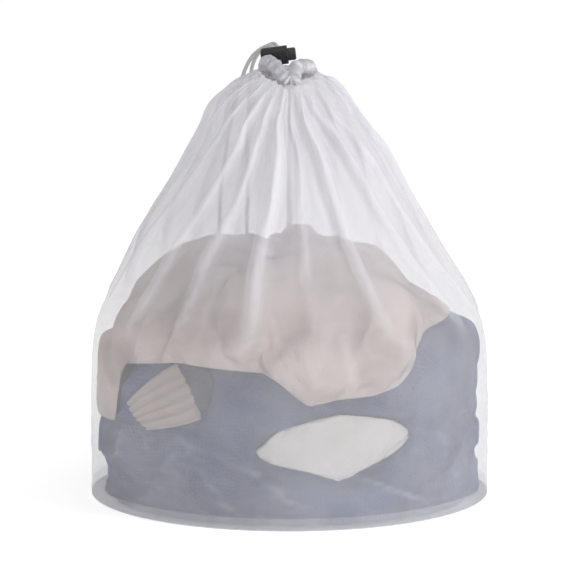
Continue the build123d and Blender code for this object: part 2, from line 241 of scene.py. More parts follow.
def use_modifier(piece, kind, **values):
    """Adds a modifier with these values and applies it."""
    modifier = piece.modifiers.new(kind.title(), kind)
    for key, value in values.items():
        setattr(modifier, key, value)
    bpy.ops.object.select_all(action="DESELECT")
    bpy.context.view_layer.objects.active = piece
    piece.select_set(True)
    bpy.ops.object.modifier_apply(modifier=modifier.name)
    piece.select_set(False)


def paint(piece, *materials):
    piece.data.materials.clear()
    for material in materials:
        piece.data.materials.append(material)


def finish_piece(piece, material, body="bag", replaced=()):
    paint(piece, material)
    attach(piece, body)
    if replaced:
        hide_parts(*replaced)
    return piece


# ======== Cloth simulation ========
def collision_form(name, radius_at, heights, columns=128, thickness=0.001):
    """A lathe-like surface that cloth can't pass; radius_at(angle, height) gives its shape."""
    angles = [2 * math.pi * k / columns for k in range(columns)]
    points = [place(radius_at(angle, height), angle, height) for height in heights for angle in angles]
    form = build_mesh(name, points, grid_faces(columns, len(heights) - 1, True))
    form.modifiers.new("Collision", "COLLISION")
    form.collision.thickness_outer = thickness
    form.collision.thickness_inner = 0.004
    form.collision.cloth_friction = 2
    form.collision.use_culling = False
    return form


def settle(piece, pinned, form, frames, bending, gravity, cut=None, slack=0.0, stiffness=8, gap=0.0015):
    """Lets a sheet settle over a form, which is then removed. If cut gives every point's place on the cut
    cloth, the sheet grows to the cut's size on the way; slack lets it grow by that share both ways. Either
    way it takes up the rest in folds. Returns the cut's area, worked out from the sheet's own rest size."""
    cut_mesh = piece.data.copy()
    if cut is not None:
        cut_mesh.vertices.foreach_set("co", np.array(cut, float).ravel())
    cut_area = sum(face.area for face in cut_mesh.polygons) * (1 + slack) ** 2
    bpy.data.meshes.remove(cut_mesh)
    if cut is not None:
        piece.shape_key_add(name="Basis")
        key = piece.shape_key_add(name="cut")
        key.data.foreach_set("co", np.array(cut, float).ravel())
        for share, number in ((0.0, 1), (1.0, int(0.6 * frames))):
            key.value = share
            key.keyframe_insert("value", frame=number)
    held = piece.vertex_groups.new(name="held")
    if pinned:
        held.add(pinned, 1.0, "REPLACE")
    cloth = piece.modifiers.new("Cloth", "CLOTH")
    cloth.settings.vertex_group_mass = "held"
    cloth.settings.use_dynamic_mesh = cut is not None
    cloth.settings.quality = 6
    cloth.settings.mass = 0.02
    for kind in ("tension", "compression"):
        setattr(cloth.settings, kind + "_stiffness", stiffness)
    cloth.settings.shear_stiffness = stiffness / 4
    cloth.settings.bending_stiffness = bending
    for kind in ("tension", "compression", "shear"):
        setattr(cloth.settings, kind + "_damping", 8)
    cloth.settings.air_damping = 2
    cloth.settings.shrink_min = -slack
    cloth.settings.effector_weights.gravity = gravity
    cloth.collision_settings.distance_min = gap
    cloth.collision_settings.collision_quality = 2
    cloth.point_cache.frame_start = 1
    cloth.point_cache.frame_end = frames
    for number in range(1, frames + 1):
        bpy.context.scene.frame_set(number)
    graph = bpy.context.evaluated_depsgraph_get()
    settled = bpy.data.meshes.new_from_object(piece.evaluated_get(graph))
    piece.modifiers.clear()
    if cut is not None:
        piece.shape_key_clear()
        for action in list(bpy.data.actions):
            bpy.data.actions.remove(action)
    piece.data = settled
    bpy.context.scene.frame_set(1)
    bpy.data.objects.remove(form)
    return cut_area


def press(piece, limit_at, soft, floor_height=0.0028):
    """Presses a settled garment against the net: the nearer it comes, the flatter it lies."""
    for vertex in piece.data.vertices:
        x, y, height = vertex.co
        x -= sway(height)
        radius = math.hypot(x, y)
        angle = math.atan2(x, -y)
        room = limit_at(angle, height) - radius
        if room < soft and radius > 0.02:
            radius = limit_at(angle, height) - soft * math.exp((room - soft) / soft)
            vertex.co.x = radius * math.sin(angle) + sway(height)
            vertex.co.y = -radius * math.cos(angle)
        vertex.co.z = max(height, floor_height)


# ======== Materials ========
def group_tree(name, label, value, outputs):
    """An empty shader node group: cloth coordinates and one named number in, named numbers out."""
    tree = bpy.data.node_groups.new(name, "ShaderNodeTree")
    tree.interface.new_socket(name="Cloth", in_out="INPUT", socket_type="NodeSocketVector")
    number = tree.interface.new_socket(name=label, in_out="INPUT", socket_type="NodeSocketFloat")
    number.default_value = value
    for label in outputs:
        tree.interface.new_socket(name=label, in_out="OUTPUT", socket_type="NodeSocketFloat")
    return tree, tree.nodes.new("NodeGroupInput"), tree.nodes.new("NodeGroupOutput")


def sums(tree, operation, first, second=None, third=None):
    """A Math node's result from sockets or numbers."""
    node = tree.nodes.new("ShaderNodeMath")
    node.operation = operation
    for socket, value in zip(node.inputs, (first, second, third)):
        if value is None:
            continue
        if isinstance(value, (int, float)):
            socket.default_value = value
        else:
            tree.links.new(value, socket)
    return node.outputs[0]


def fade(tree, value, low, high, to_low, to_high):
    """A smooth ramp of value from low..high to to_low..to_high."""
    node = tree.nodes.new("ShaderNodeMapRange")
    node.interpolation_type = "SMOOTHSTEP"
    tree.links.new(value, node.inputs["Value"])
    for label, number in (("From Min", low), ("From Max", high), ("To Min", to_low), ("To Max", to_high)):
        node.inputs[label].default_value = number
    return node.outputs["Result"]


def split_uv(tree, group_input):
    node = tree.nodes.new("ShaderNodeSeparateXYZ")
    tree.links.new(group_input.outputs["Cloth"], node.inputs[0])
    return node.outputs["X"], node.outputs["Y"]


def net_group():
    """Fine knitted net: rows of small round holes, every second row shifted by half a hole."""
    tree, start, end = group_tree("Fine net", "Pitch", 0.001, ("Holes", "Yarn"))
    x, y = split_uv(tree, start)
    across, along = (
        sums(tree, "DIVIDE", sums(tree, "MULTIPLY", way, 2 * math.pi), start.outputs["Pitch"])
        for way in (x, y))
    checks = sums(tree, "MULTIPLY", sums(tree, "COSINE", across), sums(tree, "COSINE", along))
    tree.links.new(fade(tree, checks, 0.05, 0.75, 0.0, 1.0), end.inputs["Holes"])
    tree.links.new(fade(tree, checks, 0.6, -0.6, 0.0, 1.0), end.inputs["Yarn"])
    return tree


def knit_group():
    """Plain knit: columns of V stitches. Height is the yarn's relief, Gap the dark lines between columns."""
    tree, start, end = group_tree("Plain knit", "Stitch", 0.004, ("Height", "Gap"))
    x, y = split_uv(tree, start)
    column = sums(tree, "DIVIDE", x, start.outputs["Stitch"])
    row = sums(tree, "DIVIDE", sums(tree, "MULTIPLY", y, 1.3), start.outputs["Stitch"])
    side = sums(tree, "ABSOLUTE", sums(tree, "SUBTRACT", sums(tree, "FRACT", column), 0.5))
    slanted = sums(tree, "ADD", row, sums(tree, "MULTIPLY", side, 1.4))
    wave = sums(tree, "COSINE", sums(tree, "MULTIPLY", slanted, 2 * math.pi))
    gap = fade(tree, side, 0.34, 0.5, 0.0, 1.0)
    height = sums(tree, "SUBTRACT", sums(tree, "MULTIPLY", wave, 0.5), gap)
    tree.links.new(height, end.inputs["Height"])
    tree.links.new(gap, end.inputs["Gap"])
    return tree


def weave_group():
    """Plain weave: over and under threads both ways."""
    tree, start, end = group_tree("Plain weave", "Thread", 0.0008, ("Height",))
    x, y = split_uv(tree, start)
    turns = (sums(tree, "DIVIDE", sums(tree, "MULTIPLY", way, math.pi), start.outputs["Thread"])
             for way in (x, y))
    across, along = (sums(tree, "SINE", turn) for turn in turns)
    tree.links.new(sums(tree, "MULTIPLY", across, along), end.inputs["Height"])
    return tree


def braid_group():
    """Round braid: two sets of strands that cross on the slant."""
    tree, start, end = group_tree("Round braid", "Strands", 8.0, ("Height",))
    x, y = split_uv(tree, start)
    turns = sums(tree, "MULTIPLY", y, start.outputs["Strands"])
    length = sums(tree, "DIVIDE", x, BRAID_LAY)
    right, left = (
        sums(tree, "ABSOLUTE", sums(tree, "SINE", sums(tree, "MULTIPLY", slanted, math.pi)))
        for slanted in (sums(tree, "ADD", turns, length), sums(tree, "SUBTRACT", turns, length)))
    tree.links.new(sums(tree, "MAXIMUM", right, left), end.inputs["Height"])
    return tree


NET, KNIT, WEAVE, BRAID = net_group(), knit_group(), weave_group(), braid_group()


def new_material(name, roughness, sheen=0.0, sheen_roughness=0.4):
    """A Principled material and its main nodes. Base colour, normal and alpha are linked by the caller."""
    material = bpy.data.materials.new(name)
    material.use_nodes = True
    shader = material.node_tree.nodes["Principled BSDF"]
    shader.inputs["Roughness"].default_value = roughness
    shader.inputs["Sheen Weight"].default_value = sheen
    shader.inputs["Sheen Roughness"].default_value = sheen_roughness
    return material, material.node_tree, shader


def cloth_coordinates(tree, where):
    """Metres of cloth: from the piece's own map, from above, or round and up for an upright wall."""
    if where == "cloth":
        node = tree.nodes.new("ShaderNodeUVMap")
        node.uv_map = "cloth"
        return node.outputs["UV"]
    place_node = tree.nodes.new("ShaderNodeTexCoord")
    if where == "above":
        return place_node.outputs["Object"]
    split = tree.nodes.new("ShaderNodeSeparateXYZ")
    tree.links.new(place_node.outputs["Object"], split.inputs[0])
    turn = sums(tree, "MULTIPLY", sums(tree, "ARCTAN2", split.outputs["X"], split.outputs["Y"]), BAG_RADIUS)
    joined = tree.nodes.new("ShaderNodeCombineXYZ")
    tree.links.new(turn, joined.inputs["X"])
    tree.links.new(split.outputs["Z"], joined.inputs["Y"])
    return joined.outputs[0]


def object_noise(tree, scale, detail=3.0):
    """Cloudy variation fixed to the object."""
    where = tree.nodes.new("ShaderNodeTexCoord")
    cloud = tree.nodes.new("ShaderNodeTexNoise")
    cloud.inputs["Scale"].default_value = scale
    cloud.inputs["Detail"].default_value = detail
    tree.links.new(where.outputs["Object"], cloud.inputs["Vector"])
    return cloud.outputs["Fac"]


def tint(tree, factor, dark, light):
    """A colour between dark and light by factor."""
    node = tree.nodes.new("ShaderNodeMix")
    node.data_type = "RGBA"
    tree.links.new(factor, node.inputs["Factor"])
    node.inputs["A"].default_value = (*dark, 1)
    node.inputs["B"].default_value = (*light, 1)
    return node.outputs["Result"]


def darken(tree, colour, factor, amount):
    """The colour multiplied down by factor times amount."""
    node = tree.nodes.new("ShaderNodeMix")
    node.data_type = "RGBA"
    node.blend_type = "MULTIPLY"
    tree.links.new(sums(tree, "MULTIPLY", factor, amount), node.inputs["Factor"])
    tree.links.new(colour, node.inputs["A"])
    node.inputs["B"].default_value = (0.12, 0.12, 0.12, 1)
    return node.outputs["Result"]


def relief(tree, shader, height, distance, strength=1.0):
    """A bump from height, in metres of relief."""
    bump = tree.nodes.new("ShaderNodeBump")
    bump.inputs["Strength"].default_value = strength
    bump.inputs["Distance"].default_value = distance
    tree.links.new(height, bump.inputs["Height"])
    tree.links.new(bump.outputs["Normal"], shader.inputs["Normal"])


def use_group(tree, group, where="cloth", **values):
    node = tree.nodes.new("ShaderNodeGroup")
    node.node_tree = group
    tree.links.new(cloth_coordinates(tree, where), node.inputs["Cloth"])
    for label, value in values.items():
        node.inputs[label].default_value = value
    return node.outputs


def net_material(name, dark, light, hole_alpha, yarn_alpha, where="cloth", gathered=False):
    """Sheer white net: see-through holes between yarns, a little cloudy, and denser where it is gathered."""
    material, tree, shader = new_material(name, 0.72, 0.35, 0.35)
    net = use_group(tree, NET, where, Pitch=0.0011)
    tree.links.new(tint(tree, object_noise(tree, 14), dark, light), shader.inputs["Base Color"])
    cloud = fade(tree, object_noise(tree, 22, 4.0), 0.3, 0.7, -0.035, 0.035)
    alpha = sums(tree, "ADD", fade(tree, net["Holes"], 0.0, 1.0, yarn_alpha, hole_alpha), cloud)
    if gathered:
        up = tree.nodes.new("ShaderNodeSeparateXYZ")
        tree.links.new(cloth_coordinates(tree, "cloth"), up.inputs[0])
        ridge = tree.nodes.new("ShaderNodeAttribute")
        ridge.attribute_name = "ridge"
        bunched = fade(tree, up.outputs["Y"], 0.12, 0.3, 0.0, 0.33)
        doubled = fade(tree, ridge.outputs["Fac"], 0.45, 1.0, 0.0, 0.17)
        alpha = sums(tree, "ADD", alpha, sums(tree, "ADD", bunched, doubled))
    tree.links.new(alpha, shader.inputs["Alpha"])
    relief(tree, shader, net["Yarn"], 0.00012, 0.4)
    return material


def knit_material(name, dark, light, stitch, depth, gap_shade):
    """Knitted cloth with fuzzy columns of stitches."""
    material, tree, shader = new_material(name, 0.88, 0.3, 0.5)
    knit = use_group(tree, KNIT, Stitch=stitch)
    colour = tint(tree, fade(tree, object_noise(tree, 18, 5.0), 0.3, 0.7, 0.0, 1.0), dark, light)
    tree.links.new(darken(tree, colour, knit["Gap"], gap_shade), shader.inputs["Base Color"])
    relief(tree, shader, knit["Height"], depth)
    return material


def woven_material(name, dark, light, thread, depth, sheen=0.25, where="cloth"):
    """Plain woven or fine jersey cloth."""
    material, tree, shader = new_material(name, 0.82, sheen, 0.5)
    weave = use_group(tree, WEAVE, where, Thread=thread)
    tree.links.new(tint(tree, fade(tree, object_noise(tree, 25, 5.0), 0.3, 0.7, 0.0, 1.0), dark, light),
                   shader.inputs["Base Color"])
    relief(tree, shader, weave["Height"], depth)
    return material


def cord_material():
    """White braided polyester cord, with painted shade darkening it between its strands."""
    material, tree, shader = new_material("white braided cord", 0.6, 0.3, 0.4)
    braid = use_group(tree, BRAID, Strands=8.0)
    # Painted shade: the colour darkens where the braid's height is low, in the grooves between the strands.
    cord_colour_with_painted_groove_shade = tint(tree, fade(tree, braid["Height"], 0.45, 1.0, 0.0, 1.0), (0.42, 0.41, 0.4), (0.8, 0.79, 0.78))
    tree.links.new(cord_colour_with_painted_groove_shade, shader.inputs["Base Color"])
    relief(tree, shader, braid["Height"], 0.0004)
    return material


def plastic_material(name, dark, light, roughness):
    """Moulded plastic with a faint satin grain and scuffs that change its gloss."""
    material, tree, shader = new_material(name, roughness)
    tree.links.new(tint(tree, fade(tree, object_noise(tree, 90, 4.0), 0.35, 0.7, 0.0, 1.0), dark, light),
                   shader.inputs["Base Color"])
    scuffs = fade(tree, object_noise(tree, 260, 6.0), 0.3, 0.75, roughness - 0.1, roughness + 0.16)
    tree.links.new(scuffs, shader.inputs["Roughness"])
    relief(tree, shader, object_noise(tree, 1500, 2.0), 0.00004, 0.5)
    return material


def steel_material():
    """Drawn spring wire."""
    material, tree, shader = new_material("spring wire", 0.3)
    shader.inputs["Metallic"].default_value = 1.0
    tree.links.new(tint(tree, object_noise(tree, 700, 3.0), (0.42, 0.42, 0.44), (0.66, 0.66, 0.68)),
                   shader.inputs["Base Color"])
    return material


wall_net = net_material("white wall net", (0.8, 0.79, 0.85), (0.88, 0.87, 0.92), 0.12, 0.37, gathered=True)
binding_net = net_material("sheer binding", (0.74, 0.73, 0.78), (0.84, 0.82, 0.87), 0.05, 0.17, "round")
base_net = net_material("white base net", (0.76, 0.75, 0.8), (0.84, 0.83, 0.88), 0.5, 0.8, "above")
channel_cloth = woven_material("channel cloth", (0.84, 0.83, 0.9), (0.92, 0.91, 0.96), 0.0009, 0.0002)
tape_cloth = woven_material(
    "binding tape", (0.78, 0.74, 0.76), (0.87, 0.84, 0.86), 0.0006, 0.0001, where="round")
thread = woven_material(
    "white sewing thread", (0.8, 0.79, 0.8), (0.88, 0.87, 0.88), 0.0003, 0.0001, 0.5, "round")
white_cord = cord_material()
lock_black = plastic_material("black lock plastic", (0.008, 0.008, 0.009), (0.02, 0.02, 0.022), 0.3)
# The button's plastic is made lighter than the barrel's: painted reflection standing in for the light caught
# on its dome.
button_black_with_painted_reflection = plastic_material("button plastic", (0.03, 0.03, 0.033), (0.055, 0.055, 0.06), 0.38)
spring_wire = steel_material()
blue_knit = knit_material("blue knit", (0.022, 0.06, 0.18), (0.055, 0.12, 0.31), 0.0042, 0.0014, 0.75)
cream_jersey = woven_material("cream jersey", (0.56, 0.45, 0.4), (0.8, 0.68, 0.62), 0.0011, 0.0003)
white_cotton = woven_material("white cotton", (0.72, 0.69, 0.66), (0.82, 0.8, 0.77), 0.0011, 0.00035)
cream_rib = knit_material("cream rib", (0.5, 0.41, 0.35), (0.62, 0.52, 0.46), 0.0026, 0.0005, 0.4)
grey_knit = knit_material("grey knit", (0.018, 0.019, 0.024), (0.05, 0.052, 0.062), 0.003, 0.0007, 0.5)


# ======== Side wall ========
def pleat_height(angle, rise):
    """The pleats' pattern round the bag, 0 to 1 or a little more, at rise 0 on the load and 1 at the neck."""
    total = 0.0
    for top, foot, strength in PLEATS:
        away = signed(angle - math.radians(foot + (top - foot) * rise**1.5))
        total += strength * math.exp(-((away / (0.1 - 0.035 * rise)) ** 2))
    return total


def crease_height(angle, height):
    """The low creases' pattern, 0 to 1."""
    most = 0.0
    for start, top, end, bottom in CREASES:
        if not bottom - 0.012 < height < top + 0.012:
            continue
        down = min(max((top - height) / (top - bottom), 0.0), 1.0)
        away = signed(angle - math.radians(start + (end - start) * down)) * BAG_RADIUS
        ends = smooth_step(bottom - 0.01, bottom + 0.004, height)
        ends *= smooth_step(top + 0.01, top - 0.004, height)
        most = max(most, math.exp(-((away / CREASE_WIDTH) ** 2)) * ends)
    return most


def mark_ridges(piece, columns):
    """Marks how far each point stands out from the surface round it: 1 on a pleat's ridge, 0 in a valley."""
    places = np.array([vertex.co[:] for vertex in piece.data.vertices]).reshape(-1, columns, 3)
    radius = np.linalg.norm(places[:, :, :2] - places[:, :, :2].mean(axis=1, keepdims=True), axis=2)
    around = sum(np.roll(radius, k, axis=1) for k in range(-7, 8)) / 15
    low = np.clip((0.13 - places[:, :, 2]) / 0.03, 0, 1)
    marks = np.clip(0.5 + (radius - around) / (0.006 - 0.0022 * low), 0, 1)
    piece.data.attributes.new("ridge", "FLOAT", "POINT").data.foreach_set("value", marks.ravel())


def make_side_wall():
    """The wall starts as the full bag's outline with its big pleats in place, then settles over a form."""
    line = even_points(outline, distances(outline)[-1] / WALL_ROWS)
    points = []
    for row in range(WALL_ROWS + 1):
        radius, height = line[row]
        rise = min(max((height - SHOULDER) / (NECK_HEIGHT - SHOULDER), 0.0), 1.0)
        depth = PLEAT_DEPTH * rise**0.75 * smooth_step(-0.05, 0.3, rise)
        depth *= 1 - 0.55 * smooth_step(0.8, 1.0, rise)
        for column in range(WALL_COLUMNS):
            angle = 2 * math.pi * column / WALL_COLUMNS + math.pi
            out = depth * (pleat_height(angle, rise) - 0.45) if rise > 0 else 0.0
            out += 0.0011 * smooth_step(0.55, 0.95, rise) * math.sin(52 * angle + 3 * math.sin(5 * angle))
            out += CREASE_DEPTH * crease_height(angle, height)
            points.append(place(radius - 0.0004 + out, angle, height))
    wall = build_mesh("side_wall", points, grid_faces(WALL_COLUMNS, WALL_ROWS, True))
    wrap_uv(wall, WALL_COLUMNS, WALL_ROWS, WALL_CUT_WIDTH, WALL_CUT_HEIGHT)
    edge = WALL_ROWS * WALL_COLUMNS
    pinned = list(range(WALL_COLUMNS)) + list(range(edge, edge + WALL_COLUMNS))
    heights = np.linspace(0.002, NECK_HEIGHT - 0.0015, 70)
    form = collision_form("wall form", lambda angle, height: net_inside(height), heights)
    settle(wall, pinned, form, 24, 0.05, 0.3)
    return wall


wall = make_side_wall()
mark_ridges(wall, WALL_COLUMNS)
use_modifier(wall, "SUBSURF", levels=1, render_levels=1)
finish_piece(wall, wall_net, replaced=("side_wall_mesh",))


# ======== Load of laundry ========
def depth_inside(corners, degrees, height):
    """How far a place on the net is inside a garment's outline, in metres, and below 0 outside it."""
    scale = BAG_RADIUS * math.pi / 180
    least = 1.0
    for (a, low), (b, high) in zip(corners, corners[1:] + corners[:1]):
        across, up = (b - a) * scale, high - low
        away = (across * (height - low) - up * (degrees - a) * scale) / math.hypot(across, up)
        least = min(least, away)
    return least


def in_front(angle, height, margin):
    """1 where the sleeve, the cuff or the sock lies in front of the rest of the load, fading over margin."""
    degrees = math.degrees(angle)
    return max(smooth_step(-margin, margin, depth_inside(corners, degrees, height))
               for corners in (CUFF_CORNERS, SOCK_CORNERS, SLEEVE_CORNERS))


def hem_height(angle):
    return blend_table(CREAM_HEM, math.degrees(signed(angle)))


def lumps(angle, height, size, seed):
    """Slow seeded lumps of a heap, -1 to 1."""
    return noise.noise(Vector((math.sin(angle) * 0.16 / size, -math.cos(angle) * 0.16 / size,
                               height / size + seed)))


def upper_line():
    """The cream shirt's way from the top of the heap down to the lowest hem, radius and height."""
    top = HEAP_TOP - 0.026
    return smooth_line(((0.0, top), (0.045, top - 0.003), (0.085, top - 0.013), (0.116, top - 0.034),
                        (0.14, top - 0.056), (0.152, top - 0.08), (0.1555, top - 0.1), (0.1555, top - 0.15)),
                       0.001)


heap_line = upper_line()


def blue_outside(angle, height):
    """What the blue sweater can't pass: the bag, and the garments that lie over it."""
    under_hem = smooth_step(-0.01, 0.0, height - hem_height(angle))
    limit = net_inside(height) - 0.0025 - 0.013 * in_front(signed(angle), height, 0.007)
    shirt_radius = float(np.interp(-height, -heap_line[:, 1], heap_line[:, 0]))
    under_shirt = max(min(limit - 0.006, shirt_radius - 0.007), 0.02)
    return limit + (under_shirt - limit) * under_hem


def make_blue_sweater():
    """The lower garment: a closed bottom, and a side that goes up under the shirt's hem."""
    columns, rows, rings = 250, 50, 9
    low = 0.0022
    corner = 0.006
    slack_round, slack_up = 0.15, 0.1
    points, flat = [], []
    for ring in range(rings):
        for column in range(columns):
            angle = 2 * math.pi * column / columns + math.pi
            radius = (BAG_RADIUS - 0.0045 - corner) * (0.04 + 0.96 * ring / rings)
            points.append(place(radius, angle, low + 0.0006 * (1 + lumps(angle, radius, 0.02, 9.0))))
            flat.append(points[-1])
    for row in range(rows + 1):
        for column in range(columns):
            angle = 2 * math.pi * column / columns + math.pi
            height = low + (hem_height(angle) + 0.022 - low) * row / rows
            tuck = corner * (1 - math.sqrt(max(1 - (1 - min((height - low) / corner, 1.0)) ** 2, 0.0)))
            inset = 0.003 + 0.002 * lumps(angle, height, 0.012, 3.0) + tuck
            points.append(place(blue_outside(angle, height) - inset, angle, height))
            loose = smooth_step(0.004, 0.03, height)
            wide = (blue_outside(angle, height) - inset) * (1 + slack_round * loose)
            flat.append((wide * math.sin(angle), -wide * math.cos(angle), height * (1 + slack_up * loose)))
    sweater = build_mesh("blue_sweater_body", points, grid_faces(columns, rings + rows, True))
    wrap_uv(sweater, columns, rows + rings, 2 * math.pi * BAG_RADIUS * (1 + slack_round), 0.18)
    heights = [low - 0.002 + 0.176 * k / 60 for k in range(61)]

    def inside(angle, height):
        foot = corner * (1 - min((height - low) / corner, 1.0)) ** 2 if height < low + corner else 0.0
        return blue_outside(angle, height) - 0.0125 - 0.004 * lumps(angle, height, 0.05, 7.0) - foot

    form = collision_form("sweater core", inside, heights, thickness=0.0005)
    area = settle(sweater, list(range(columns * (rings + 1))), form, 24, 0.4, 0.15, flat, gap=0.0008)
    press(sweater, blue_outside, 0.004)
    return sweater, area


def make_cream_shirt():
    """A sheet laid over the heap: a disc whose edge reaches the hem, then crumpled by its own slack."""
    line = heap_line
    steps = distances(line)
    side = 108
    slack = 1.22
    points, uv = [], []
    for row in range(side + 1):
        for column in range(side + 1):
            a, b = 2 * column / side - 1, 2 * row / side - 1
            # A square turned into a disc ring by ring.
            if abs(a) > abs(b):
                share, angle = abs(a), (math.pi / 4) * (b / a) + (math.pi if a < 0 else 0.0)
            elif b != 0:
                share, angle = abs(b), math.pi / 2 - (math.pi / 4) * (a / b) + (math.pi if b < 0 else 0.0)
            else:
                share, angle = 0.0, 0.0
            reach = float(np.interp(-hem_height(angle), -line[:, 1], steps))
            way = share * reach
            radius = float(np.interp(way, steps, line[:, 0]))
            height = float(np.interp(way, steps, line[:, 1]))
            bump = 0.005 * lumps(angle, height, 0.022, 11.0) + 0.006 * lumps(angle, height, 0.05, 5.0)
            bump *= 1 - smooth_step(0.88, 1.0, share)
            limit = outline_radius(height) - 0.003
            radius = min(radius + bump, limit)
            points.append(place(radius, angle, height + (bump if way < 0.1 else 0.0)))
            uv.append((slack * way * math.sin(angle), -slack * way * math.cos(angle)))
    shirt = build_mesh("cream_shirt_body", points, grid_faces(side + 1, side, False), uv)
    shirt_heights = [0.06 + (0.225 - 0.06) * k / 70 for k in range(71)]

    def core(angle, height):
        drop = HEAP_TOP - 0.004 - height
        dome = float(np.interp(-(height + 0.004), -line[:, 1], line[:, 0])) if drop > 0 else 0.0
        deep = 0.006 + 0.009 * smooth_step(0.14, 0.175, height)
        return max(min(dome, outline_radius(height) - 0.0035) - deep
                   - 0.006 * lumps(angle, height, 0.045, 2.0) * smooth_step(0.13, 0.17, height), 0.002)

    form = collision_form("shirt core", core, shirt_heights, thickness=0.0005)
    hem = [row * (side + 1) + column for row in range(side + 1) for column in range(side + 1)
           if row in (0, side) or column in (0, side)]
    area = settle(shirt, hem, form, 26, 0.25, 0.3, slack=slack - 1, gap=0.0008)
    press(shirt, lambda angle, height: net_inside(height) - 0.0012, 0.005)
    return shirt, area


def make_patch(name, columns, rows, place_at, slack):
    """A patch of cloth against the bag: place_at(across, up) gives angle in degrees, height and depth. Its
    edges are held where they tuck in, and the slack between them rises in folds."""
    points, uv, cut, edges = [], [], [], []
    middle_degrees, middle_height, _ = place_at(0.5, 0.5)
    for row in range(rows + 1):
        for column in range(columns + 1):
            degrees, height, depth = place_at(column / columns, row / rows)
            angle = math.radians(degrees)
            points.append(place(outline_radius(height) - depth, angle, height))
            uv.append((angle * BAG_RADIUS * slack, height * slack))
            edge = min(column, columns - column, row, rows - row)
            grown = 1 + (slack - 1) * min(edge / 5, 1.0)
            turn = math.radians(middle_degrees + (degrees - middle_degrees) * grown)
            tall = middle_height + (height - middle_height) * grown
            cut.append(place(outline_radius(height) - depth, turn, tall))
            if edge == 0:
                edges.append(len(points) - 1)
    patch = build_mesh(name, points, grid_faces(columns + 1, rows, False), uv)
    area = sum(face.area for face in patch.data.polygons)
    if slack > 1:
        heights = [0.02 + 0.12 * k / 40 for k in range(41)]
        form = collision_form("patch core", lambda angle, height: outline_radius(height) - 0.0125, heights,
                              thickness=0.0005)
        area = settle(patch, edges, form, 16, 0.15, 0.1, cut, gap=0.0006)
        press(patch, lambda angle, height: outline_radius(height) - 0.0025, 0.003)
    return patch, area


def rounded(across, up, share):
    """The same place in a patch whose corners are rounded off by a share."""
    u, v = 2 * across - 1, 2 * up - 1
    return 0.5 + 0.5 * u * math.sqrt(1 - share * v * v / 2), 0.5 + 0.5 * v * math.sqrt(1 - share * u * u / 2)


def in_corners(corners, across, up):
    """A place between four corners: degrees and height."""
    return tuple((1 - up) * ((1 - across) * a + across * b) + up * ((1 - across) * d + across * c)
                 for a, b, c, d in zip(*corners))


def make_white_sleeve():
    def at(across, up):
        u, v = rounded(across, up, 0.75)
        degrees = SLEEVE_OUTLINE[0][0] + (SLEEVE_OUTLINE[-1][0] - SLEEVE_OUTLINE[0][0]) * u
        bottom = blend_table([(a, b) for a, b, _ in SLEEVE_OUTLINE], degrees)
        top = blend_table([(a, c) for a, _, c in SLEEVE_OUTLINE], degrees)
        height = bottom + (top - bottom) * v
        rolled = 0.003 * max(abs(2 * up - 1) ** 6, abs(2 * across - 1) ** 12)
        folds = 0.0026 * math.sin(8 * v + 6 * u) * math.sin(9 * u) + 0.002 * lumps(
            math.radians(degrees), height, 0.014, 21.0)
        return degrees, height, 0.0074 + rolled - folds

    return make_patch("white_sleeve_cloth", 110, 56, at, 1.15)


def make_ribbed_cuff():
    def at(across, up):
        degrees, height = in_corners(CUFF_CORNERS, *rounded(across, up, 0.35))
        ribs = 0.0013 * math.cos(2 * math.pi * 5.5 * up)
        rolled = 0.004 * max(abs(2 * up - 1) ** 8, abs(2 * across - 1) ** 10)
        return degrees, height, 0.0068 + rolled - ribs

    return make_patch("ribbed_cuff_cloth", 90, 80, at, 1.0)


def make_grey_sock():
    def at(across, up):
        degrees, height = in_corners(SOCK_CORNERS, *rounded(across, up, 0.5))
        rolled = 0.003 * max(abs(2 * up - 1) ** 6, abs(2 * across - 1) ** 6)
        return degrees, height, 0.0085 + rolled - 0.0022 * lumps(math.radians(degrees), height, 0.01, 31.0)

    return make_patch("grey_sock_cloth", 48, 60, at, 1.12)


def close_bottom(piece):
    """Fills the small hole in the middle of a bottom."""
    shape = bmesh.new()
    shape.from_mesh(piece.data)
    rim = [edge for edge in shape.edges if edge.is_boundary and edge.verts[0].co.xy.length < 0.02]
    bmesh.ops.contextual_create(shape, geom=rim)
    bmesh.ops.recalc_face_normals(shape, faces=shape.faces)
    shape.to_mesh(piece.data)
    shape.free()


sweater, sweater_cut = make_blue_sweater()
use_modifier(sweater, "SUBSURF", levels=1, render_levels=1)
close_bottom(sweater)
finish_piece(sweater, blue_knit, replaced=("blue_sweater",))
shirt, shirt_cut = make_cream_shirt()
use_modifier(shirt, "SUBSURF", levels=1, render_levels=1)
finish_piece(shirt, cream_jersey, replaced=("cream_shirt",))
for build, node, material, slot in (
    (make_white_sleeve, "white_sleeve", white_cotton, "white_cotton"),
    (make_ribbed_cuff, "ribbed_cuff", cream_rib, "cream_rib"),
    (make_grey_sock, "grey_sock", grey_knit, "grey_knit"),
):
    garment, garment_cut = build()
    use_modifier(garment, "SUBSURF", levels=1, render_levels=1)
    finish_piece(garment, material, replaced=(node,))


# ======== Cord and rope-like pieces ========
def spline_points(name, route, closed=False):
    """The points of a smooth NURBS line with the route's points as its control points."""
    curve = bpy.data.curves.new(name + " line", "CURVE")
    curve.dimensions = "3D"
    spline = curve.splines.new("NURBS")
    spline.points.add(len(route) - 1)
    for point, where in zip(spline.points, route):
        point.co = (*where, 1.0)
    spline.order_u = 3
    spline.use_endpoint_u = not closed
    spline.use_cyclic_u = closed
    spline.resolution_u = 16
    carrier = bpy.data.objects.new(name + " line", curve)
    bpy.context.scene.collection.objects.link(carrier)
    mesh = bpy.data.meshes.new_from_object(carrier)
    dense = np.array([vertex.co[:] for vertex in mesh.vertices])
    bpy.data.objects.remove(carrier)
    if closed:
        dense = np.vstack([dense, dense[:1]])
    return even_points(dense, 0.0009)


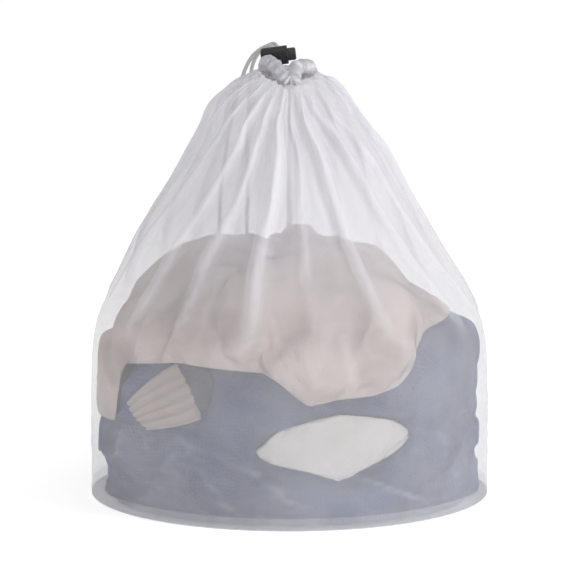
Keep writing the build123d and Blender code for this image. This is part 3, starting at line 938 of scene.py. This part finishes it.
def sweep_tube(name, line, radius_at, sides=14, closed=False):
    """A tube round a line of points; radius_at(travelled, turn) gives the distance from the line."""
    count = len(line) - 1 if closed else len(line)
    points, uv = [], []
    steps = distances(line)
    side = None
    frames = []
    for i in range(count):
        before = line[(i - 1) % count] if closed else line[max(i - 1, 0)]
        after = line[(i + 1) % count] if closed else line[min(i + 1, count - 1)]
        along = Vector(after - before).normalized()
        if side is None:
            side = along.orthogonal().normalized()
        side = (side - along * side.dot(along)).normalized()
        frames.append((side.copy(), along.cross(side)))
    twist = 0.0
    if closed:
        first, last = frames[0][0], frames[-1][0]
        twist = math.atan2(last.dot(frames[0][1]), last.dot(first))
    for i in range(count):
        side, up = frames[i]
        back = -twist * i / count
        for k in range(sides):
            turn = 2 * math.pi * k / sides
            out = radius_at(steps[i], turn)
            outward = side * math.cos(turn + back) + up * math.sin(turn + back)
            points.append(Vector(line[i]) + outward * out)
            uv.append((steps[i], k / sides))
    rows = count if closed else count - 1
    faces = [(j * sides + k, j * sides + (k + 1) % sides, (j + 1) % count * sides + (k + 1) % sides,
              (j + 1) % count * sides + k) for j in range(rows) for k in range(sides)]
    if not closed:
        faces.append(tuple(range(sides))[::-1])
        faces.append(tuple(range((count - 1) * sides, count * sides)))
    return build_mesh(name, points, faces, uv)


def braided(travelled, turn):
    """A braided cord's surface: shallow strands on the slant."""
    lay = math.pi * travelled / BRAID_LAY
    strands = abs(math.sin(4 * turn + lay)) + abs(math.sin(4 * turn - lay))
    return CORD_DIAMETER / 2 * (0.94 + 0.04 * strands)


def make_knot(name, route, node):
    """An overhand knot pulled tight: one and three quarter turns round the cord, and its short end."""
    end = Vector(route[-1])
    along = (end - Vector(route[-2])).normalized()
    side = along.cross(Vector((0, 0, 1))).normalized()
    up = side.cross(along)
    line = [end - along * 0.001, end + along * 0.0012]
    turns, steps = 1.75, 40
    for k in range(steps + 1):
        share = k / steps
        turn = 2 * math.pi * turns * share
        out = 0.0027 * math.sin(math.pi * min(max(share, 0.04), 0.96)) ** 0.35
        ahead = 0.0018 + 0.0068 * share - 0.0012 * math.sin(turn)
        line.append(end + along * ahead + (side * math.cos(turn) + up * math.sin(turn)) * out)
    line += [end + along * 0.0105, end + along * 0.0145 - up * 0.0004, end + along * 0.0195 - up * 0.001]
    knot = sweep_tube(name, even_points(np.array([tuple(p) for p in line]), 0.0006), braided, 12)
    return finish_piece(knot, white_cord, replaced=(node,))


for side_name, route, length in (("left", LEFT_ROUTE, LEFT_LENGTH), ("right", RIGHT_ROUTE, RIGHT_LENGTH)):
    line = spline_points("tail", route)
    tail = sweep_tube("drawcord_tail_" + side_name + "_braid", line, braided)
    finish_piece(tail, white_cord, replaced=("drawcord_tail_" + side_name,))
    knot = make_knot("end_knot_" + side_name, route, "cord_knot_" + side_name)


# ======== Gathered channel at the neck ========
def make_channel():
    line = smooth_line(CHANNEL_LINE, 0.0008, closed=True)
    total = distances(line)[-1]

    def roll(travelled, turn):
        share = travelled / total
        gathers = math.sin(2 * math.pi * 23 * share + 1.3 * math.sin(2 * math.pi * 5 * share))
        fine = math.sin(2 * math.pi * 61 * share + 2 * math.sin(turn))
        lump = noise.noise(Vector((share * 9, math.cos(turn), math.sin(turn)))) * 0.0011
        front = 1 + 0.15 * math.cos(2 * math.pi * share)
        return (0.0056 + 0.00042 * gathers + 0.00012 * fine + lump) * front

    return sweep_tube("gathered_channel", line, roll, 26, closed=True)


channel = make_channel()
finish_piece(channel, channel_cloth, replaced=("drawcord_channel",))

loop_line = smooth_line(CHANNEL_LINE, 0.001, closed=True)
neck_loop = sweep_tube("drawcord_neck_loop_braid", loop_line, braided, 12, closed=True)
finish_piece(neck_loop, white_cord, replaced=("drawcord_neck_loop",))


# ======== Lock and remaining CAD pieces ========
paint(nodes["lock_barrel"], lock_black)
paint(nodes["lock_button"], button_black_with_painted_reflection)
paint(nodes["base_mesh_panel"], base_net)
paint(nodes["base_binding"], binding_net)
paint(nodes["side_seam"], tape_cloth)
paint(nodes["channel_buttonhole"], thread)

# In the lock the spring shortens as the button goes in, towards its end on the bore's floor; here it is the
# imported wire with doubled points merged, set on the lock's body.
spring = bpy.data.objects.new("compression_spring", nodes["lock_spring"].data.copy())
bpy.context.scene.collection.objects.link(spring)
wire = bmesh.new()
wire.from_mesh(spring.data)
bmesh.ops.remove_doubles(wire, verts=wire.verts, dist=1e-6)
wire.to_mesh(spring.data)
wire.free()
finish_piece(spring, spring_wire, "cord_lock", ("lock_spring",))
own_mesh(spring)

# ======== Stage ========
bpy.ops.mesh.primitive_plane_add(size=12, location=(0, 3, -0.0002))
floor = bpy.context.object
floor.name = "floor"
floor_material, _, floor_shader = new_material("pale floor", 0.9)
floor_shader.inputs["Base Color"].default_value = (0.9, 0.9, 0.9, 1)
floor_shader.inputs["Emission Color"].default_value = (1, 1, 1, 1)
floor_shader.inputs["Emission Strength"].default_value = 0.5
paint(floor, floor_material)

world = bpy.data.worlds.new("studio")
bpy.context.scene.world = world
world.use_nodes = True
world.node_tree.nodes["Background"].inputs["Color"].default_value = (1, 1, 1, 1)
world.node_tree.nodes["Background"].inputs["Strength"].default_value = 0.55


def area_light(name, where, target, size, power):
    light = bpy.data.lights.new(name, "AREA")
    light.size = size
    light.energy = power
    lamp = bpy.data.objects.new(name, light)
    lamp.location = where
    lamp.rotation_euler = (Vector(target) - Vector(where)).to_track_quat("-Z", "Y").to_euler()
    bpy.context.scene.collection.objects.link(lamp)


area_light("soft key", (1.5, -0.8, 1.0), (0, 0, 0.17), 0.7, 12)
area_light("top fill", (-0.2, -0.4, 1.8), (0, 0, 0.17), 1.2, 2)

# The camera looks slightly down at the front from a distance.
ELEVATION = math.radians(10)
DISTANCE = 5.0
FRAME_WIDTH = 0.461
target = Vector((-0.0012, 0, 0.165))
camera = bpy.data.cameras.new("camera")
camera.lens = camera.sensor_width * DISTANCE / FRAME_WIDTH
eye = bpy.data.objects.new("camera", camera)
eye.location = target + Vector((0, -math.cos(ELEVATION), math.sin(ELEVATION))) * DISTANCE
eye.rotation_euler = (math.pi / 2 - ELEVATION, 0, 0)
bpy.context.scene.collection.objects.link(eye)
bpy.context.scene.camera = eye
bpy.context.scene.view_settings.view_transform = "Standard"
